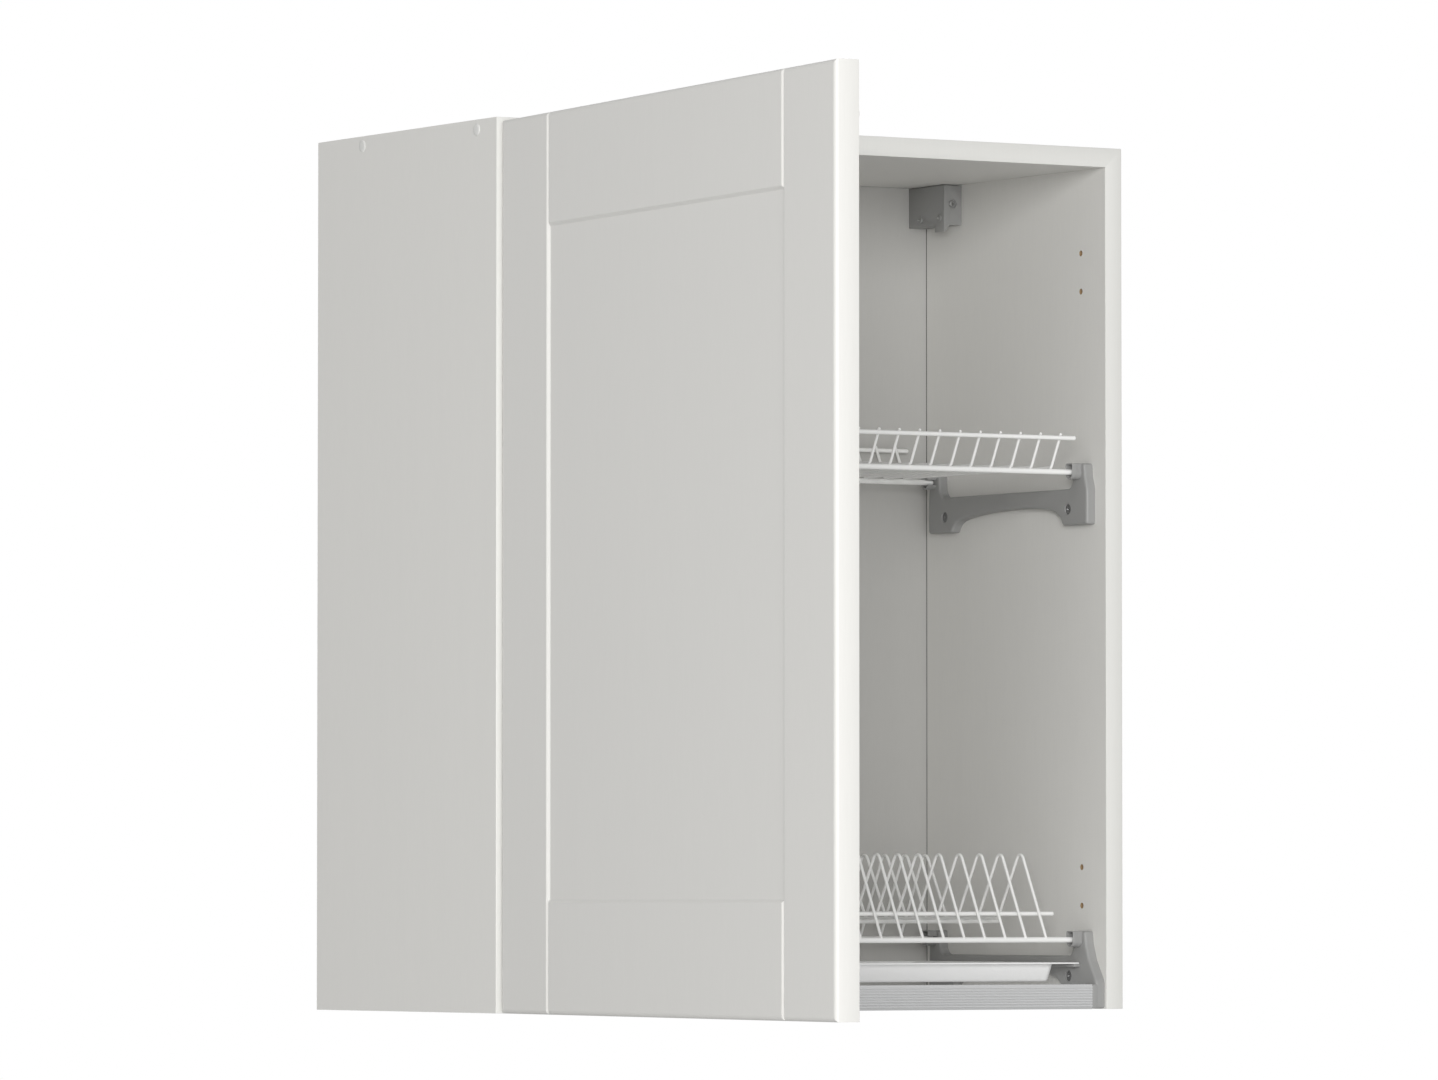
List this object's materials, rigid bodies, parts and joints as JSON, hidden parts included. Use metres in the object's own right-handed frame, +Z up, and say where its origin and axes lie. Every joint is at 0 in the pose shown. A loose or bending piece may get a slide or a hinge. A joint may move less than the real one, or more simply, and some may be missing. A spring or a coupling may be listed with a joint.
{
  "type": "kitchen wall cabinet with dish drying rack",
  "caption": "Wall cabinet with a framed door on concealed hinges, a wire cup rack above a wire plate rack, a drip tray and a ribbed front profile.",
  "frame": {"origin": "middle of the top board's rear edge, on the plane of the wall", "axes": "+X to the right seen from the front, +Y back to the wall, +Z up"},
  "size_m": [0.6555, 0.8927, 0.715],
  "materials": {
    "board": "light grey laminated particle board with a faint vertical grain",
    "back_board": "light grey lacquered fibreboard",
    "edge_band": "light grey edge strip",
    "dowel_wood": "plain beech",
    "door_lacquer": "warm light grey foil with a fine vertical grain",
    "bumper": "soft clear plastic",
    "cap_plastic": "light grey plastic",
    "plated_steel": "nickel-plated steel",
    "screw_steel": "darkened steel of the countersunk bracket screws",
    "pin_steel": "bright steel pins",
    "grey_plastic": "satin mid-grey plastic",
    "coated_wire": "white coated steel wire",
    "tray_plastic": "white moulded plastic",
    "aluminium_profile": "satin anodised aluminium with fine ribs"
  },
  "bodies": {
    "cabinet": {"left_side_panel": "board", "right_side_panel": "board", "top_panel": "board", "back_panel": "back_board", "front_edge_bands": "edge_band", "corner_dowels": "dowel_wood", "corner_screws": "plated_steel", "screw_caps": "cap_plastic", "hinge_plates": "plated_steel", "hinge_plate_screws": "plated_steel", "hinge_arms": "plated_steel", "hinge_arm_screws": "plated_steel", "hinge_arm_pins": "pin_steel", "upper_left_bracket": "grey_plastic", "upper_right_bracket": "grey_plastic", "lower_left_bracket": "grey_plastic", "lower_right_bracket": "grey_plastic", "bracket_screws": "screw_steel", "cup_rack_floor": "coated_wire", "cup_rack_front_fence": "coated_wire", "cup_rack_rear_fence": "coated_wire", "plate_rack_rails": "coated_wire", "plate_rack_dividers": "coated_wire", "front_profile": "aluminium_profile", "profile_screws": "plated_steel", "left_hanger_housing": "grey_plastic", "right_hanger_housing": "grey_plastic", "hanger_screws": "plated_steel", "hanger_adjusters": "plated_steel"},
    "outer_links": {"hinge_outer_links": "plated_steel"},
    "door": {"door_front": "door_lacquer", "door_bumpers": "bumper", "hinge_cups": "plated_steel", "hinge_cup_screws": "plated_steel", "hinge_cup_pins": "pin_steel"},
    "inner_links": {"hinge_inner_links": "plated_steel"},
    "tray": {"drip_tray": "tray_plastic"},
    "left_hook": {"left_hanger_hook": "plated_steel"},
    "right_hook": {"right_hanger_hook": "plated_steel"}
  },
  "joints": [
    {"name": "outer_link_swing", "type": "hinge", "parent": "cabinet", "child": "outer_links", "pos_m": [-0.27248, -0.30017, -0.3495], "axis": [0, 0, -1], "range_deg": [-2.78, 64.17]},
    {"name": "door_swing", "type": "hinge", "parent": "outer_links", "child": "door", "pos_m": [-0.28025, -0.31129, -0.3495], "axis": [0, 0, -1], "range_deg": [-155.58, 7.19]},
    {"name": "inner_link_swing", "type": "hinge", "parent": "cabinet", "child": "inner_links", "pos_m": [-0.26488, -0.30147, -0.3495], "axis": [0, 0, -1], "range_deg": [-0.93, 20]},
    {"name": "tray_slide", "type": "slide", "parent": "cabinet", "child": "tray", "axis": [0, -1, 0], "range_m": [0, 0.024]},
    {"name": "left_hook_slide", "type": "slide", "parent": "cabinet", "child": "left_hook", "axis": [0, 1, 0], "range_m": [-0.005, 0.004]},
    {"name": "right_hook_slide", "type": "slide", "parent": "cabinet", "child": "right_hook", "axis": [0, 1, 0], "range_m": [-0.005, 0.004]}
  ],
  "couplings": [
    {"joint": "outer_link_swing", "follows": "door_swing", "ratio": -0.38565},
    {"joint": "inner_link_swing", "follows": "door_swing", "ratio": -0.12855}
  ]
}
